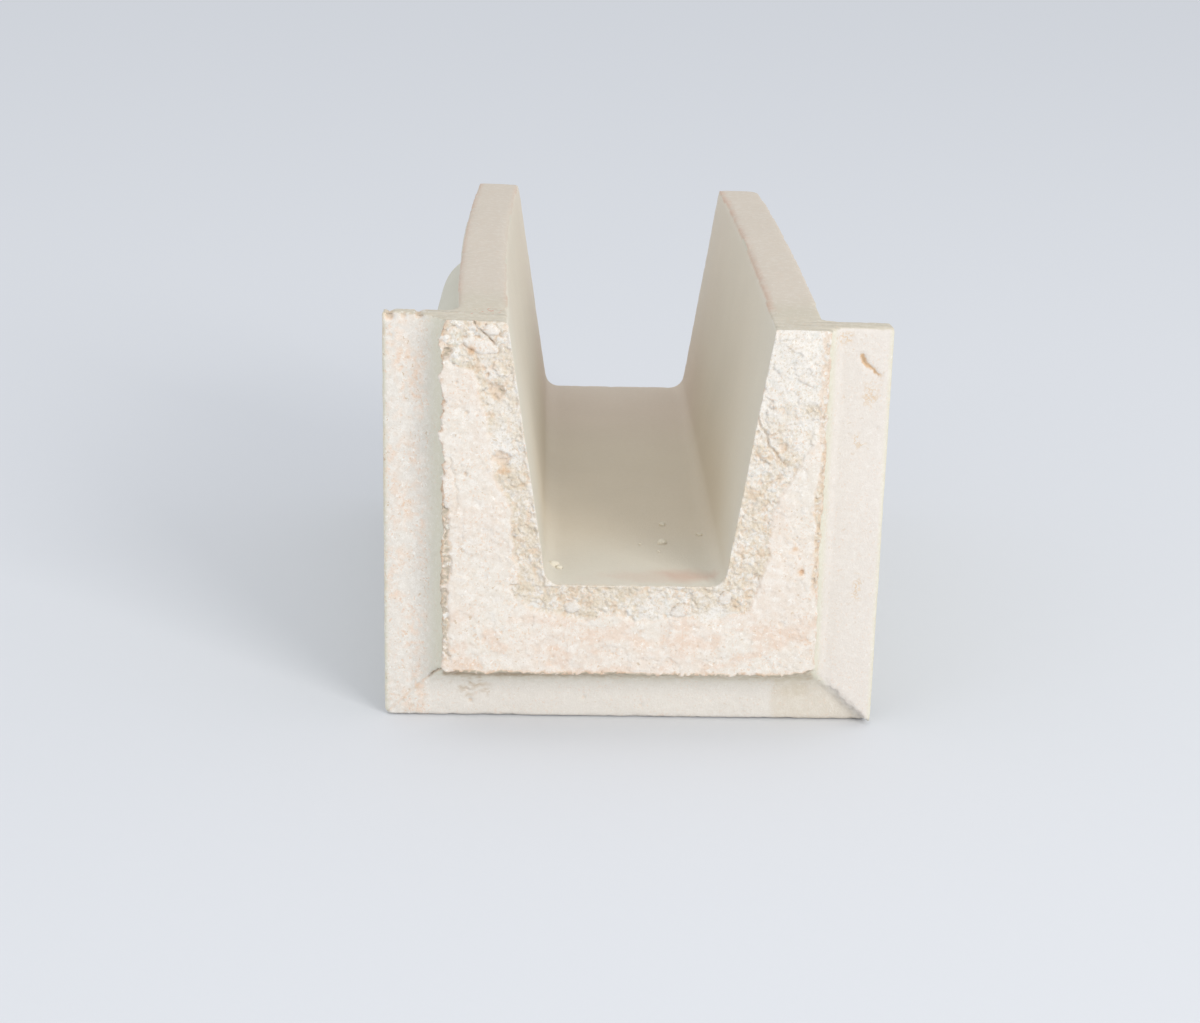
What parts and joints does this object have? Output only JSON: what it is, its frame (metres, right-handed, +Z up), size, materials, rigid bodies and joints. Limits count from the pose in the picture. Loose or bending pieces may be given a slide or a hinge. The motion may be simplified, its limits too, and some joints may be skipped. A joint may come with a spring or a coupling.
{
  "type": "roof-water spout gargoyle",
  "caption": "Open U-shaped concrete roof-water spout with a moulded collar near its rough pour end and a thick, round-shouldered lower body.",
  "frame": {"origin": "on the surface it stands on, at the middle of the part's width and length", "axes": "+X to the right as seen from the rough pour end, +Y along the trough from the pour end to the mouth, +Z up"},
  "size_m": [0.2, 0.315, 0.1712],
  "materials": {
    "concrete": "matte cast concrete, smooth in the trough and on the collar, rough with exposed aggregate on the pour end"
  },
  "bodies": {
    "root": {"gargoyle": "concrete"}
  },
  "joints": []
}
